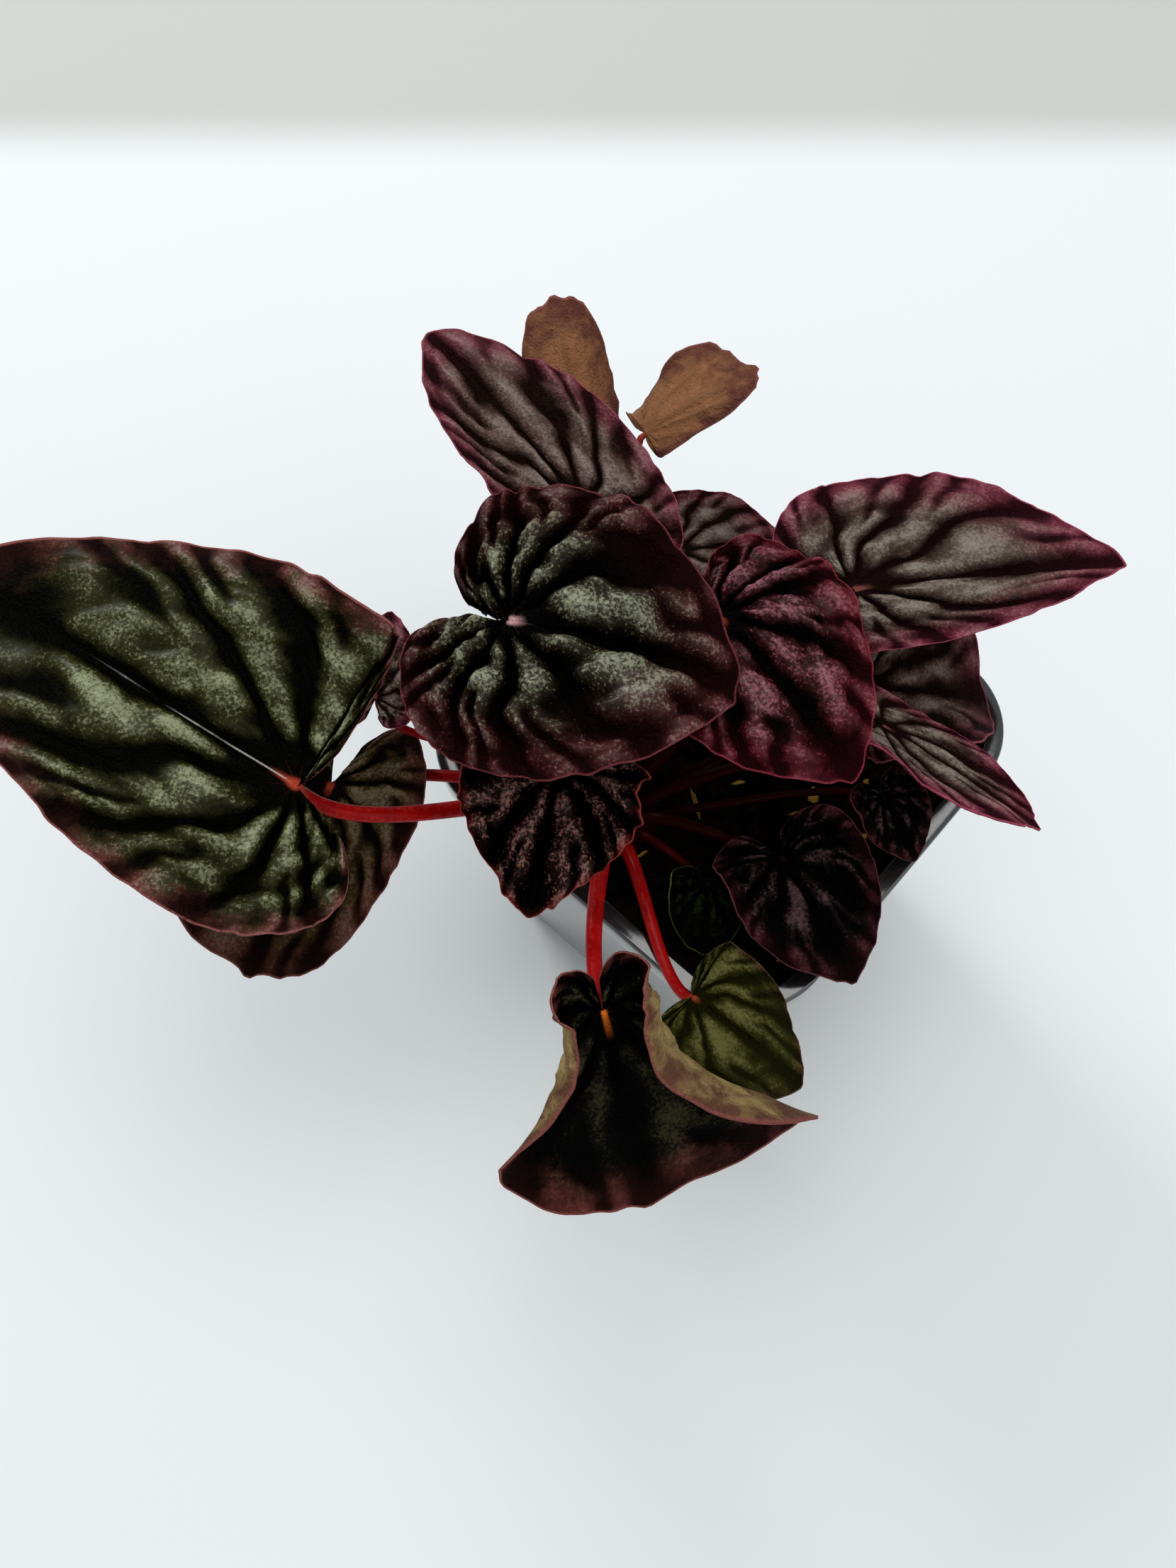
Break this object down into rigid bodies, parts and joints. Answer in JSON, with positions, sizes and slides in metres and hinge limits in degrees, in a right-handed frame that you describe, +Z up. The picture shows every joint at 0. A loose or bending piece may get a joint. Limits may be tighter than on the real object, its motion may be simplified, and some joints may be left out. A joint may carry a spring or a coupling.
{
  "type": "potted foliage plant",
  "caption": "Small leafy house plant with deeply rippled dark red and silver-green leaves on red stalks, in a square tapered nursery pot of black plastic filled with soil.",
  "frame": {"origin": "middle of the pot's flat underside, where it rests", "axes": "+Z up out of the pot; -Y is the side from which the plant is looked at, +X that view's right; the square pot stands turned 48 degrees about Z"},
  "size_m": [0.1848, 0.1498, 0.1244],
  "materials": {
    "pot": "satin black moulded plastic",
    "soil": null,
    "stalk": null,
    "leaf": null
  },
  "bodies": {
    "root": {"blade_back_large": "leaf", "blade_back_left_young": "leaf", "blade_back_right_young": "leaf", "blade_back_under": "leaf", "blade_front_cone": "leaf", "blade_front_right": "leaf", "blade_front_small": "leaf", "blade_front_under": "leaf", "blade_left_large": "leaf", "blade_left_small": "leaf", "blade_left_under": "leaf", "blade_right_bud": "leaf", "blade_right_large": "leaf", "blade_right_middle": "leaf", "blade_right_narrow": "leaf", "blade_right_round": "leaf", "blade_right_under": "leaf", "blade_soil_small": "leaf", "blade_top_middle": "leaf", "crown": "stalk", "pot": "pot", "soil": "soil", "stalk_back_large": "stalk", "stalk_back_left_young": "stalk", "stalk_back_right_young": "stalk", "stalk_back_under": "stalk", "stalk_front_cone": "stalk", "stalk_front_right": "stalk", "stalk_front_small": "stalk", "stalk_front_under": "stalk", "stalk_left_large": "stalk", "stalk_left_small": "stalk", "stalk_left_under": "stalk", "stalk_right_bud": "stalk", "stalk_right_large": "stalk", "stalk_right_middle": "stalk", "stalk_right_narrow": "stalk", "stalk_right_round": "stalk", "stalk_right_under": "stalk", "stalk_soil_small": "stalk", "stalk_top_middle": "stalk"}
  },
  "joints": []
}
